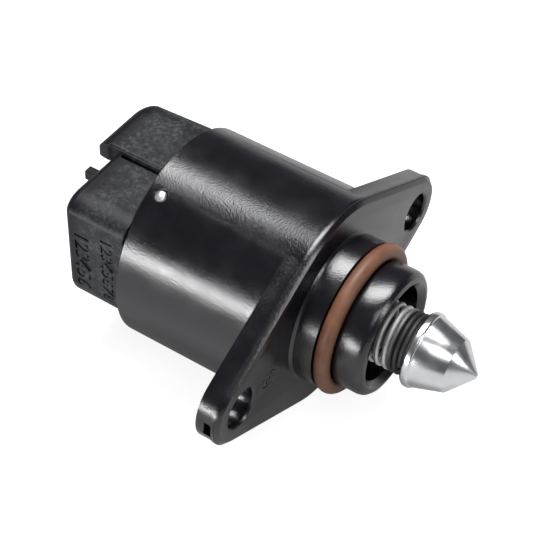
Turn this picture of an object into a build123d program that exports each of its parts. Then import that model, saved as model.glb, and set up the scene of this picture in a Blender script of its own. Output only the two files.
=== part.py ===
"""Idle air control valve: a stepper motor in a cast can winds a conical pintle in and out of its seat.

Frame: the valve's axis is X and the pintle points along +X. Y runs along the two flange lugs and Z is up.
The origin is the centre of the flange's front face, which seats on the throttle body. Sizes are in mm.
"""

import os
from math import cos, pi, radians, sin, tau

from build123d import *

# Can, flange and spigot, cast in one piece
CAN_R = 17.5
CAN_WALL = 1.3
CAN_LENGTH = 28.2
RIM_CHAMFER = 0.25
FLANGE_T = 3.8
FLANGE_EDGE = 0.6
LUG_R = 6.0
HOLE_SPACING = 49.5
HOLE_R = 3.2
HOLE_CHAMFER = 0.3
STRIP_OFFSET = 0.7
STRIP_WIDTH = 0.6
STRIP_PROUD = 0.15
TIP_POCKET_ANGLE = 3.0
TIP_POCKET_SETBACK = 1.5
TIP_POCKET_WIDTH = 1.4
TIP_POCKET_HEIGHT = 2.2
TIP_POCKET_DEPTH = 0.8
STAKE_SETBACK = 2.5
STAKE_FIRST_ANGLE = -28.7
STAKE_SPREAD = 72.0
STAKE_R = 1.2
STAKE_DEPTH = 0.45
STAKE_TAPER = 35.0
SPIGOT_R = 12.05
SPIGOT_LAND = 3.6
SPIGOT_ROOT = 0.4
GROOVE_R = 9.9
GROOVE_WIDTH = 2.8
NOSE_X = 11.05
NOSE_R = 10.3
NOSE_ROUND = 1.4
NOSE_BORE_R = 7.85
MOUTH_CHAMFER = 0.95
BORE_FLOOR_DEPTH = 2.4
FRONT_WALL = 1.4
CAVITY_FLOOR_SETBACK = 0.3

# Spigot seal
RING_SECTION_R = 1.25
RING_SIDES = 8
RING_CLEARANCE = 0.02

# Fits between pieces
FIT = 0.05
RUNNING = 0.05
PRESS = 0.02

# Pintle and lead screw
PINTLE_REAR_X = 14.9
PINTLE_R = 6.1
COLLAR_ROUND = 1.0
COLLAR_LAND = 1.2
TAPER_END_R = 4.35
TAPER_LENGTH = 5.2
CONE_LENGTH = 3.5
TIP_R = 0.4
SCREW_R = 2.5
SCREW_FLAT = 2.1
SCREW_GRIP = 4.5
SCREW_REACH = 27.9
SCREW_END_CHAMFER = 0.4
PINTLE_RETRACT = 7.0

# Pintle spring
WIRE_R = 0.35
SPRING_R = 5.1
SPRING_PITCH = 1.55
REAR_CLOSED_TURNS = 1
FRONT_CLOSED_TURNS = 2
SPRING_STEPS = 15
WIRE_SIDES = 6

# Guide bush and spring seat in the bottom of the bore
BUSH_FLANGE_T = 1.0
BUSH_SLEEVE_R = 4.55
SEAT_T = 0.4
SEAT_R = 6.2
SEAT_LIP = 1.0
SEAT_SCREW_GAP = 0.7

# Front ball bearing
BEARING_R = 8.0
BEARING_BORE_R = 4.0
BEARING_WIDTH = 4.0
BALL_R = 1.1
BALL_PLAY = 0.05
BALL_COUNT = 7
RACE_SHOULDER = 0.75
RACE_SIDES = 6
BALL_SIDES = 8
CAGE_T = 1.0
CAGE_WIDTH = 3.0
BOSS_WALL = 1.7
RELIEF_DEPTH = 0.4
RELIEF_R = 6.4
PRELOAD_GAP = 0.6
PRELOAD_T = 0.25
PRELOAD_WIDTH = 0.95

# Rotor
MAGNET_INSET = 0.8
MAGNET_BORE_R = 5.0
MAGNET_SETBACK = 1.6
MAGNET_END_SETBACK = 1.2
HUB_FRONT_GAP = 0.4
HUB_FLANGE_INSET = 0.8
HUB_FLANGE_T = 0.8
JOURNAL_R = 3.5
JOURNAL_LENGTH = 3.4
NUT_R = 3.3
NUT_LENGTH = 6.0
HUB_BORE_R = 2.9
HUB_BORE_SPARE = 1.7

# Stator, two stacks of one coil and two claw plates each
PLATE_T = 0.9
AIR_GAP = 0.4
CLAW_T = 0.8
CLAWS = 6
CLAW_ROOT_ANGLE = 20.0
CLAW_TIP_ANGLE = 12.0
CLAW_TIP_GAP = 1.1
BOBBIN_WALL = 0.6
BOBBIN_FLANGE_T = 0.6
WINDING_INSET = 0.9

# Rear plug and electrical socket, moulded in one piece
PLUG_FRONT_GAP = 0.1
PLUG_LENGTH = 3.5
GASKET_WIDTH = 1.6
GASKET_DEPTH = 1.1
GASKET_SETBACK = 1.0
BUSH_WALL = 1.7
NEAR_SIDE_Y = -14.0
STEP_Y = -1.6
FAR_SIDE_Y = 10.1
BASE_Z = -7.6
NEAR_TOP_INSET = 3.9
FAR_TOP_RISE = 1.6
NEAR_LENGTH = 12.3
FAR_LENGTH = 14.6
BLOCK_ROUND = 3.0
STEP_ROUND = 0.6
REAR_ROUND = 2.3
STEP_GROOVE_WIDTH = 0.6
STEP_GROOVE_DEPTH = 0.7
SOCKET_WALL = 2.7
SOCKET_ROUND = 1.5
KEY_WIDTH = 4.0
KEY_HEIGHT = 1.6
SOCKET_DEPTH = 8.4
LATCH_CENTRE_Y = -5.6
LATCH_WIDTH = 1.6
LATCH_DROP = 2.2
LATCH_HEIGHT = 2.0
LATCH_LENGTH = 1.1
LATCH_ROOT = 3.0
LATCH_ROUND = 0.4

# Terminals
TERMINAL_COUNT = 4
TERMINAL_PITCH = 3.9
TERMINAL_WIDTH = 1.5
TERMINAL_T = 0.8
TERMINAL_Z = 1.5
TERMINAL_REACH = 6.2
TERMINAL_RISER_SETBACK = 1.0
TERMINAL_TAIL_INSET = 5.6
PIN_R = 0.35
WINDOW_MARGIN = 0.5

# Stations along the axis, worked out from the sizes above
RIM_X = -CAN_LENGTH
CAVITY_R = CAN_R - CAN_WALL
CAVITY_FLOOR_X = -FLANGE_T - CAVITY_FLOOR_SETBACK
BORE_FLOOR_X = -BORE_FLOOR_DEPTH
BEARING_X = BORE_FLOOR_X - FRONT_WALL
BEARING_REAR_X = BEARING_X - BEARING_WIDTH
BOSS_R = BEARING_R + FIT + BOSS_WALL
GROOVE_END_X = SPIGOT_LAND + GROOVE_WIDTH
STATOR_X = BEARING_REAR_X - PRELOAD_GAP
PLUG_X = RIM_X + PLUG_LENGTH
STATOR_END_X = PLUG_X + PLUG_FRONT_GAP
STACK_LENGTH = (STATOR_X - STATOR_END_X) / 2
MID_X = STATOR_X - STACK_LENGTH
CLAW_LENGTH = STACK_LENGTH - 2 * PLATE_T - CLAW_TIP_GAP
MAGNET_R = BEARING_R - MAGNET_INSET
HUB_FLANGE_R = MAGNET_R - HUB_FLANGE_INSET
CLAW_IN_R = MAGNET_R + AIR_GAP
CLAW_OUT_R = CLAW_IN_R + CLAW_T
CUP_R = CAVITY_R - FIT
CUP_IN_R = CUP_R - PLATE_T
MAGNET_X = BEARING_REAR_X - MAGNET_SETBACK
MAGNET_END_X = STATOR_END_X + MAGNET_END_SETBACK
HUB_X = BEARING_X - HUB_FRONT_GAP
HUB_FLANGE_END_X = MAGNET_END_X - HUB_FLANGE_T
SCREW_END_X = PINTLE_REAR_X - SCREW_REACH
HUB_BORE_END_X = SCREW_END_X - PINTLE_RETRACT - HUB_BORE_SPARE
PLUG_R = CAVITY_R - FIT
REAR_BUSH_R = JOURNAL_R + RUNNING + BUSH_WALL
SEAT_X = BORE_FLOOR_X + BUSH_FLANGE_T
SPRING_START_X = SEAT_X + SEAT_T
NEAR_END_X = RIM_X - NEAR_LENGTH
FAR_END_X = RIM_X - FAR_LENGTH
SOCKET_FLOOR_X = NEAR_END_X + SOCKET_DEPTH
NEAR_TOP_Z = CAVITY_R - NEAR_TOP_INSET
FAR_TOP_Z = NEAR_TOP_Z + FAR_TOP_RISE
LATCH_TOP_Z = NEAR_TOP_Z - LATCH_DROP
TERMINAL_MID_Y = (NEAR_SIDE_Y + FAR_SIDE_Y) / 2
TERMINAL_TAIL_Z = CAVITY_R - TERMINAL_TAIL_INSET

os.makedirs("parts", exist_ok=True)


def profile(*points):
    """Fills a straight-sided closed outline in the sketch that is being drawn."""
    with BuildLine() as outline:
        Polyline(*points, close=True)
    make_face(outline.edges())


def rounded_corner(x, radius, size, side, flats=3):
    """Points that round an outer corner of a turned outline, which faces -X or +X as side says."""
    points = []
    for index in range(flats + 1):
        turn = pi / 2 * index / flats
        points.append((x - side * size * (1 - sin(turn)), radius - size * (1 - cos(turn))))
    return points if side > 0 else points[::-1]


def lug_outline(grow):
    """Draws the two-lug flange outline, grown by the given amount, in the sketch that is being drawn."""
    Circle(CAN_R + grow)
    with GridLocations(HOLE_SPACING, 0, 2, 1):
        Circle(LUG_R + grow)
    make_hull()


def radial_plane(x, radius, angle):
    """A plane facing outwards on a cylinder about the axis, its angle counted from +Z towards +Y."""
    a = radians(angle)
    outwards = (0, sin(a), cos(a))
    return Plane(origin=(x, radius * sin(a), radius * cos(a)), x_dir=(1, 0, 0), z_dir=outwards)


# Housing: can, lugs and spigot
with BuildPart() as housing:
    with BuildSketch(Plane.YZ.offset(-FLANGE_T)):
        lug_outline(0)
    extrude(amount=FLANGE_T)
    chamfer(housing.faces().sort_by(Axis.X)[-1].outer_wire().edges(), FLANGE_EDGE)
    with BuildSketch(Plane.YZ.offset(-STRIP_OFFSET - STRIP_WIDTH)):
        lug_outline(STRIP_PROUD)
    extrude(amount=STRIP_WIDTH)
    with BuildSketch(Plane.YZ.offset(RIM_X)):
        Circle(CAN_R)
    extrude(amount=CAN_LENGTH - FLANGE_T)
    chamfer(housing.faces().sort_by(Axis.X)[0].edges(), RIM_CHAMFER)
    with BuildSketch(Plane.XY):
        profile(
            (-FLANGE_T, 0),
            (-FLANGE_T, SPIGOT_R + SPIGOT_ROOT),
            (0, SPIGOT_R + SPIGOT_ROOT),
            (SPIGOT_ROOT, SPIGOT_R),
            (SPIGOT_LAND, SPIGOT_R),
            (SPIGOT_LAND, GROOVE_R),
            (GROOVE_END_X, GROOVE_R),
            (GROOVE_END_X, NOSE_R),
            *rounded_corner(NOSE_X, NOSE_R, NOSE_ROUND, 1),
            (NOSE_X, 0),
        )
    revolve(axis=Axis.X)
    with BuildSketch(Plane.XY):
        profile(
            (NOSE_X, 0),
            (NOSE_X, NOSE_BORE_R + MOUTH_CHAMFER),
            (NOSE_X - MOUTH_CHAMFER, NOSE_BORE_R),
            (BORE_FLOOR_X, NOSE_BORE_R),
            (BORE_FLOOR_X, BUSH_SLEEVE_R + FIT),
            (BEARING_X + RELIEF_DEPTH, BUSH_SLEEVE_R + FIT),
            (BEARING_X + RELIEF_DEPTH, RELIEF_R),
            (BEARING_X, RELIEF_R),
            (BEARING_X, BEARING_R + FIT),
            (STATOR_X + FIT, BEARING_R + FIT),
            (STATOR_X + FIT, BOSS_R),
            (CAVITY_FLOOR_X, BOSS_R),
            (CAVITY_FLOOR_X, CAVITY_R),
            (RIM_X, CAVITY_R),
            (RIM_X, 0),
        )
    revolve(axis=Axis.X, mode=Mode.SUBTRACT)
    with Locations(Plane.YZ):
        with GridLocations(HOLE_SPACING, 0, 2, 1):
            CounterSinkHole(HOLE_R, HOLE_R + HOLE_CHAMFER, depth=FLANGE_T, counter_sink_angle=90)
    for pair_angle in (STAKE_FIRST_ANGLE, STAKE_FIRST_ANGLE + 180):
        for angle in (pair_angle, pair_angle + STAKE_SPREAD):
            with BuildSketch(radial_plane(RIM_X + STAKE_SETBACK, CAN_R, angle)):
                Circle(STAKE_R)
            extrude(amount=-STAKE_DEPTH, taper=STAKE_TAPER, mode=Mode.SUBTRACT)
    pocket_a = radians(TIP_POCKET_ANGLE)
    pocket_out = (0, -cos(pocket_a), -sin(pocket_a))
    pocket_origin = (
        -TIP_POCKET_SETBACK,
        -HOLE_SPACING / 2 + LUG_R * pocket_out[1],
        LUG_R * pocket_out[2],
    )
    with BuildSketch(Plane(origin=pocket_origin, x_dir=(1, 0, 0), z_dir=pocket_out)):
        Rectangle(TIP_POCKET_WIDTH, TIP_POCKET_HEIGHT)
    extrude(amount=-TIP_POCKET_DEPTH, mode=Mode.SUBTRACT)

housing.part.label = "housing"
export_step(housing.part, "parts/housing.step")

# Ring seal in the spigot's groove
with BuildPart() as spigot_seal:
    with BuildSketch(Plane.XY):
        with Locations((SPIGOT_LAND + GROOVE_WIDTH / 2, GROOVE_R + RING_CLEARANCE + RING_SECTION_R)):
            RegularPolygon(RING_SECTION_R, RING_SIDES)
    revolve(axis=Axis.X)

spigot_seal.part.label = "spigot_seal"
export_step(spigot_seal.part, "parts/spigot_seal.step")

# Pintle head: turned aluminium with a shallow and a steep taper
taper_x = PINTLE_REAR_X + COLLAR_LAND
cone_x = taper_x + TAPER_LENGTH
with BuildPart() as pintle:
    with BuildSketch(Plane.XY):
        profile(
            (PINTLE_REAR_X, SCREW_R),
            *rounded_corner(PINTLE_REAR_X, PINTLE_R, COLLAR_ROUND, -1),
            (taper_x, PINTLE_R),
            (cone_x, TAPER_END_R),
            (cone_x + CONE_LENGTH, TIP_R),
            (cone_x + CONE_LENGTH, 0),
            (PINTLE_REAR_X + SCREW_GRIP, 0),
            (PINTLE_REAR_X + SCREW_GRIP, SCREW_R),
        )
    revolve(axis=Axis.X)

pintle.part.label = "pintle"
export_step(pintle.part, "parts/pintle.step")

# Lead screw: a steel rod with two flats that keep it from turning, threaded finely between them
with BuildPart() as lead_screw:
    with BuildSketch(Plane.XY):
        profile(
            (SCREW_END_X, 0),
            (SCREW_END_X, SCREW_R - SCREW_END_CHAMFER),
            (SCREW_END_X + SCREW_END_CHAMFER, SCREW_R),
            (PINTLE_REAR_X + SCREW_GRIP, SCREW_R),
            (PINTLE_REAR_X + SCREW_GRIP, 0),
        )
    revolve(axis=Axis.X)
    with BuildSketch(Plane.YZ.offset(PINTLE_REAR_X)):
        with Locations((0, SCREW_FLAT + SCREW_R), (0, -SCREW_FLAT - SCREW_R)):
            Rectangle(2 * SCREW_R, 2 * SCREW_R)
    extrude(amount=SCREW_END_X - PINTLE_REAR_X, mode=Mode.SUBTRACT)

lead_screw.part.label = "lead_screw"
export_step(lead_screw.part, "parts/lead_screw.step")

# Pintle spring: open coils between closed end turns, wound as short straight runs
closed_turns = REAR_CLOSED_TURNS + FRONT_CLOSED_TURNS
closed_rise = 2 * WIRE_R
spring_rise = PINTLE_REAR_X - SPRING_START_X - 2 * WIRE_R
open_turns = (spring_rise - closed_turns * closed_rise) / SPRING_PITCH
total_turns = open_turns + closed_turns
coil_r = SPRING_R - WIRE_R


def wire_centre(turn):
    """The centre of the wire after so many turns from the seat."""
    rise = closed_rise * min(turn, REAR_CLOSED_TURNS)
    rise += SPRING_PITCH * min(max(turn - REAR_CLOSED_TURNS, 0), open_turns)
    rise += closed_rise * max(turn - REAR_CLOSED_TURNS - open_turns, 0)
    angle = tau * turn
    return Vector(SPRING_START_X + WIRE_R + rise, coil_r * cos(angle), coil_r * sin(angle))


with BuildPart() as pintle_spring:
    steps = round(total_turns * SPRING_STEPS)
    for step in range(steps + 1):
        turn = total_turns * step / steps
        centre = wire_centre(turn)
        ahead = wire_centre(min(turn + 0.01, total_turns))
        behind = wire_centre(max(turn - 0.01, 0))
        with BuildSketch(Plane(origin=centre, x_dir=(0, centre.Y, centre.Z), z_dir=ahead - behind)):
            RegularPolygon(WIRE_R, WIRE_SIDES)
    loft(ruled=True)

pintle_spring.part.label = "pintle_spring"
export_step(pintle_spring.part, "parts/pintle_spring.step")

# Guide bush: its double-flat bore keys the lead screw, so that the screw slides and can't turn
with BuildPart() as guide_bush:
    with BuildSketch(Plane.XY):
        profile(
            (SEAT_X, 0),
            (SEAT_X, NOSE_BORE_R - FIT),
            (BORE_FLOOR_X, NOSE_BORE_R - FIT),
            (BORE_FLOOR_X, BUSH_SLEEVE_R),
            (BEARING_X + RELIEF_DEPTH, BUSH_SLEEVE_R),
            (BEARING_X + RELIEF_DEPTH, 0),
        )
    revolve(axis=Axis.X)
    with BuildSketch(Plane.YZ.offset(SEAT_X)):
        Circle(SCREW_R + RUNNING)
        Rectangle(2 * SCREW_R + 1, 2 * (SCREW_FLAT + RUNNING), mode=Mode.INTERSECT)
    extrude(amount=-BUSH_FLANGE_T - FRONT_WALL, mode=Mode.SUBTRACT)

guide_bush.part.label = "guide_bush"
export_step(guide_bush.part, "parts/guide_bush.step")

# Spring seat: a pressed steel cup washer that centres the spring's rear turn
seat_bore_r = SCREW_R + SEAT_SCREW_GAP
seat_lip_r = SPRING_R - 2 * WIRE_R - 2 * FIT
with BuildPart() as spring_seat:
    with BuildSketch(Plane.XY):
        profile(
            (SEAT_X, seat_bore_r),
            (SEAT_X, SEAT_R),
            (SPRING_START_X, SEAT_R),
            (SPRING_START_X, seat_lip_r),
            (SPRING_START_X + SEAT_LIP, seat_lip_r),
            (SPRING_START_X + SEAT_LIP, seat_bore_r),
        )
    revolve(axis=Axis.X)

spring_seat.part.label = "spring_seat"
export_step(spring_seat.part, "parts/spring_seat.step")

# Front ball bearing: two races, a cage and its balls
race_mid_r = (BEARING_R + BEARING_BORE_R) / 2
race_mid_x = BEARING_X - BEARING_WIDTH / 2
groove_r = BALL_R + BALL_PLAY
with BuildPart() as bearing_outer_race:
    with BuildSketch(Plane.XY):
        profile(
            (BEARING_REAR_X, race_mid_r + RACE_SHOULDER),
            (BEARING_REAR_X, BEARING_R),
            (BEARING_X, BEARING_R),
            (BEARING_X, race_mid_r + RACE_SHOULDER),
        )
        with Locations((race_mid_x, race_mid_r)):
            RegularPolygon(groove_r, RACE_SIDES, major_radius=False, mode=Mode.SUBTRACT)
    revolve(axis=Axis.X)

bearing_outer_race.part.label = "bearing_outer_race"
export_step(bearing_outer_race.part, "parts/bearing_outer_race.step")

with BuildPart() as bearing_inner_race:
    with BuildSketch(Plane.XY):
        profile(
            (BEARING_REAR_X, BEARING_BORE_R),
            (BEARING_REAR_X, race_mid_r - RACE_SHOULDER),
            (BEARING_X, race_mid_r - RACE_SHOULDER),
            (BEARING_X, BEARING_BORE_R),
        )
        with Locations((race_mid_x, race_mid_r)):
            RegularPolygon(groove_r, RACE_SIDES, major_radius=False, mode=Mode.SUBTRACT)
    revolve(axis=Axis.X)

bearing_inner_race.part.label = "bearing_inner_race"
export_step(bearing_inner_race.part, "parts/bearing_inner_race.step")

with BuildPart() as bearing_cage:
    with BuildSketch(Plane.XY):
        with Locations((race_mid_x, race_mid_r)):
            Rectangle(CAGE_WIDTH, CAGE_T)
    revolve(axis=Axis.X)
    for index in range(BALL_COUNT):
        with BuildSketch(radial_plane(race_mid_x, 0, 360 * index / BALL_COUNT)):
            Rectangle(2 * (groove_r + BALL_PLAY), 2 * (groove_r + BALL_PLAY))
        extrude(amount=BEARING_R, mode=Mode.SUBTRACT)

bearing_cage.part.label = "bearing_cage"
export_step(bearing_cage.part, "parts/bearing_cage.step")

with BuildPart() as ball:
    with BuildSketch(Plane.YZ.offset(race_mid_x)):
        RegularPolygon(BALL_R, BALL_SIDES)
    extrude(amount=BALL_R, both=True)
    chamfer(ball.faces().filter_by(Axis.X).edges(), BALL_R * (1 - sin(pi / BALL_SIDES)))

with BuildPart() as bearing_balls:
    for index in range(BALL_COUNT):
        angle = tau * index / BALL_COUNT
        with Locations((0, race_mid_r * sin(angle), race_mid_r * cos(angle))):
            add(ball.part)

bearing_balls.part.label = "bearing_balls"
export_step(bearing_balls.part, "parts/bearing_balls.step")

# Preload washer: a shallow cone of spring steel between the outer race and the stator
washer_out_r = BEARING_R - FIT
washer_in_r = washer_out_r - PRELOAD_WIDTH
with BuildPart() as preload_washer:
    with BuildSketch(Plane.XY):
        profile(
            (BEARING_REAR_X, washer_in_r),
            (BEARING_REAR_X - PRELOAD_T, washer_in_r),
            (STATOR_X, washer_out_r),
            (STATOR_X + PRELOAD_T, washer_out_r),
        )
    revolve(axis=Axis.X)

preload_washer.part.label = "preload_washer"
export_step(preload_washer.part, "parts/preload_washer.step")

# Rotor: moulded hub, ring magnet and brass nut
hub_journal_r = BEARING_BORE_R - PRESS
with BuildPart() as rotor_hub:
    with BuildSketch(Plane.XY):
        profile(
            (HUB_X, NUT_R + PRESS),
            (HUB_X, hub_journal_r),
            (BEARING_REAR_X, hub_journal_r),
            (BEARING_REAR_X, MAGNET_BORE_R - PRESS),
            (MAGNET_END_X, MAGNET_BORE_R - PRESS),
            (MAGNET_END_X, HUB_FLANGE_R),
            (HUB_FLANGE_END_X, HUB_FLANGE_R),
            (HUB_FLANGE_END_X, JOURNAL_R),
            (HUB_FLANGE_END_X - JOURNAL_LENGTH, JOURNAL_R),
            (HUB_FLANGE_END_X - JOURNAL_LENGTH, 0),
            (HUB_BORE_END_X, 0),
            (HUB_BORE_END_X, HUB_BORE_R),
            (HUB_X - NUT_LENGTH, HUB_BORE_R),
            (HUB_X - NUT_LENGTH, NUT_R + PRESS),
        )
    revolve(axis=Axis.X)

rotor_hub.part.label = "rotor_hub"
export_step(rotor_hub.part, "parts/rotor_hub.step")

with BuildPart() as rotor_magnet:
    with BuildSketch(Plane.XY):
        profile(
            (MAGNET_X, MAGNET_BORE_R),
            (MAGNET_X, MAGNET_R),
            (MAGNET_END_X, MAGNET_R),
            (MAGNET_END_X, MAGNET_BORE_R),
        )
    revolve(axis=Axis.X)

rotor_magnet.part.label = "rotor_magnet"
export_step(rotor_magnet.part, "parts/rotor_magnet.step")

with BuildPart() as drive_nut:
    with BuildSketch(Plane.XY):
        profile(
            (HUB_X, SCREW_R + RUNNING),
            (HUB_X, NUT_R),
            (HUB_X - NUT_LENGTH, NUT_R),
            (HUB_X - NUT_LENGTH, SCREW_R + RUNNING),
        )
    revolve(axis=Axis.X)

drive_nut.part.label = "drive_nut"
export_step(drive_nut.part, "parts/drive_nut.step")


# Stator: two cups and two plates with interleaved claws, pressed from sheet steel
terminal_row = TERMINAL_PITCH * (TERMINAL_COUNT - 1)
window_width = terminal_row + TERMINAL_WIDTH + 2 * WINDOW_MARGIN
window_height = TERMINAL_T + 2 * WINDOW_MARGIN
window_z = TERMINAL_TAIL_Z + TERMINAL_T / 2


def claw_plate(out_r, plate_x, towards, first_angle, wall_length=0, windowed=False):
    """A pressed plate with claws bent along the axis, and an outer wall where it is a cup."""
    with BuildPart() as plate:
        with BuildSketch(Plane.YZ.offset(plate_x)):
            Circle(out_r)
            Circle(CLAW_IN_R, mode=Mode.SUBTRACT)
        extrude(amount=towards * PLATE_T)
        if wall_length:
            with BuildSketch(Plane.YZ.offset(plate_x)):
                Circle(out_r)
                Circle(out_r - PLATE_T, mode=Mode.SUBTRACT)
            extrude(amount=towards * wall_length)
        with BuildSketch(Plane.YZ.offset(plate_x)):
            Circle(CLAW_OUT_R)
            Circle(CLAW_IN_R, mode=Mode.SUBTRACT)
        extrude(amount=towards * (PLATE_T + CLAW_LENGTH))
        root_x = plate_x + towards * PLATE_T
        tip_x = root_x + towards * CLAW_LENGTH
        root_half = CLAW_OUT_R * sin(radians(CLAW_ROOT_ANGLE / 2))
        tip_half = CLAW_OUT_R * sin(radians(CLAW_TIP_ANGLE / 2))
        gap_half = CLAW_OUT_R * sin(pi / CLAWS) - root_half
        tip_gap_half = CLAW_OUT_R * sin(pi / CLAWS) - tip_half
        for index in range(CLAWS):
            gap = first_angle + 360 * (index + 0.5) / CLAWS
            with BuildSketch(radial_plane(0, 0, gap)):
                profile(
                    (root_x, -gap_half),
                    (tip_x, -tip_gap_half),
                    (tip_x, tip_gap_half),
                    (root_x, gap_half),
                )
            extrude(amount=CLAW_OUT_R + FIT, mode=Mode.SUBTRACT)
        if windowed:
            with BuildSketch(Plane.YZ.offset(plate_x)):
                with Locations((TERMINAL_MID_Y, window_z)):
                    Rectangle(window_width, window_height)
            extrude(amount=towards * PLATE_T, mode=Mode.SUBTRACT)
    return plate


claw_pitch = 360 / CLAWS
stator_parts = {
    "front_stator_cup": claw_plate(CUP_R, STATOR_X, -1, 0, STACK_LENGTH),
    "front_stator_plate": claw_plate(CUP_IN_R - FIT, MID_X, 1, claw_pitch / 2),
    "rear_stator_plate": claw_plate(CUP_IN_R - FIT, MID_X, -1, claw_pitch / 4),
    "rear_stator_cup": claw_plate(CUP_R, STATOR_END_X, 1, claw_pitch * 3 / 4, STACK_LENGTH, True),
}
for name, plate in stator_parts.items():
    plate.part.label = name
    export_step(plate.part, f"parts/{name}.step")

# Bobbins and windings, one pair in each stack
bobbin_length = STACK_LENGTH - 2 * PLATE_T
bobbin_bore_r = CLAW_OUT_R + FIT
bobbin_core_r = bobbin_bore_r + BOBBIN_WALL
bobbin_r = CUP_IN_R - FIT
for name, stack_x in (("front", STATOR_X), ("rear", MID_X)):
    bobbin_x = stack_x - PLATE_T
    with BuildPart() as bobbin:
        with BuildSketch(Plane.XY):
            profile(
                (bobbin_x, bobbin_bore_r),
                (bobbin_x, bobbin_r),
                (bobbin_x - BOBBIN_FLANGE_T, bobbin_r),
                (bobbin_x - BOBBIN_FLANGE_T, bobbin_core_r),
                (bobbin_x - bobbin_length + BOBBIN_FLANGE_T, bobbin_core_r),
                (bobbin_x - bobbin_length + BOBBIN_FLANGE_T, bobbin_r),
                (bobbin_x - bobbin_length, bobbin_r),
                (bobbin_x - bobbin_length, bobbin_bore_r),
            )
        revolve(axis=Axis.X)
    bobbin.part.label = f"{name}_bobbin"
    export_step(bobbin.part, f"parts/{name}_bobbin.step")
    with BuildPart() as winding:
        with BuildSketch(Plane.XY):
            profile(
                (bobbin_x - BOBBIN_FLANGE_T, bobbin_core_r),
                (bobbin_x - BOBBIN_FLANGE_T, bobbin_r - WINDING_INSET),
                (bobbin_x - bobbin_length + BOBBIN_FLANGE_T, bobbin_r - WINDING_INSET),
                (bobbin_x - bobbin_length + BOBBIN_FLANGE_T, bobbin_core_r),
            )
        revolve(axis=Axis.X)
    winding.part.label = f"{name}_winding"
    export_step(winding.part, f"parts/{name}_winding.step")

# Terminals: stamped brass, with a flat blade, a riser in the plastic and a tail at the coils
riser_x = SOCKET_FLOOR_X + TERMINAL_RISER_SETBACK
terminals = []
for index in range(TERMINAL_COUNT):
    terminal_y = TERMINAL_MID_Y + TERMINAL_PITCH * (index - (TERMINAL_COUNT - 1) / 2)
    with BuildPart() as terminal:
        with BuildSketch(Plane.XZ.offset(-terminal_y - TERMINAL_WIDTH / 2)):
            profile(
                (SOCKET_FLOOR_X - TERMINAL_REACH, TERMINAL_Z),
                (SOCKET_FLOOR_X - TERMINAL_REACH, TERMINAL_Z + TERMINAL_T),
                (riser_x, TERMINAL_Z + TERMINAL_T),
                (riser_x, TERMINAL_TAIL_Z + TERMINAL_T),
                (PLUG_X, TERMINAL_TAIL_Z + TERMINAL_T),
                (PLUG_X, TERMINAL_TAIL_Z),
                (riser_x + TERMINAL_T, TERMINAL_TAIL_Z),
                (riser_x + TERMINAL_T, TERMINAL_Z),
            )
        extrude(amount=TERMINAL_WIDTH)
        tip_edges = terminal.faces().sort_by(Axis.X)[0].edges().filter_by(Axis.Z)
        chamfer(tip_edges, TERMINAL_WIDTH / 4)
    terminal.part.label = f"terminal_{index + 1}"
    export_step(terminal.part, f"parts/terminal_{index + 1}.step")
    terminals.append(terminal)

# Coil pins: short wire posts that join the windings' ends to the terminals' tails
pin_length = STATOR_END_X + PLATE_T - PLUG_X
with BuildPart() as coil_pins:
    with BuildSketch(Plane.YZ.offset(PLUG_X)):
        with Locations((TERMINAL_MID_Y, window_z)):
            with GridLocations(TERMINAL_PITCH, 0, TERMINAL_COUNT, 1):
                Circle(PIN_R)
    extrude(amount=pin_length)

coil_pins.part.label = "coil_pins"
export_step(coil_pins.part, "parts/coil_pins.step")

# Near lobe of the connector, with broadly rounded rear edges
with BuildPart() as near_lobe:
    with BuildSketch(Plane.YZ.offset(RIM_X)) as near_section:
        with Locations(((NEAR_SIDE_Y + STEP_Y) / 2, (BASE_Z + NEAR_TOP_Z) / 2)):
            Rectangle(STEP_Y - NEAR_SIDE_Y, NEAR_TOP_Z - BASE_Z)
        fillet(near_section.vertices().group_by(Axis.X)[0], BLOCK_ROUND)
    extrude(amount=-NEAR_LENGTH)
    fillet(near_lobe.faces().sort_by(Axis.X)[0].edges().sort_by(Axis.Y)[:-1], REAR_ROUND)

# Far lobe of the connector, which stands higher and reaches further back
with BuildPart() as far_lobe:
    with BuildSketch(Plane.YZ.offset(RIM_X)) as far_section:
        with Locations(((STEP_Y + FAR_SIDE_Y) / 2, (BASE_Z + FAR_TOP_Z) / 2)):
            Rectangle(FAR_SIDE_Y - STEP_Y, FAR_TOP_Z - BASE_Z)
        fillet(far_section.vertices().group_by(Axis.X)[-1], BLOCK_ROUND)
    extrude(amount=-FAR_LENGTH)
    fillet(far_lobe.faces().sort_by(Axis.X)[0].edges(), REAR_ROUND)
    step_edge = far_lobe.edges().filter_by(Axis.X).group_by(Axis.Y)[0].sort_by(Axis.Z)[-1]
    fillet(step_edge, STEP_ROUND)

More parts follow.
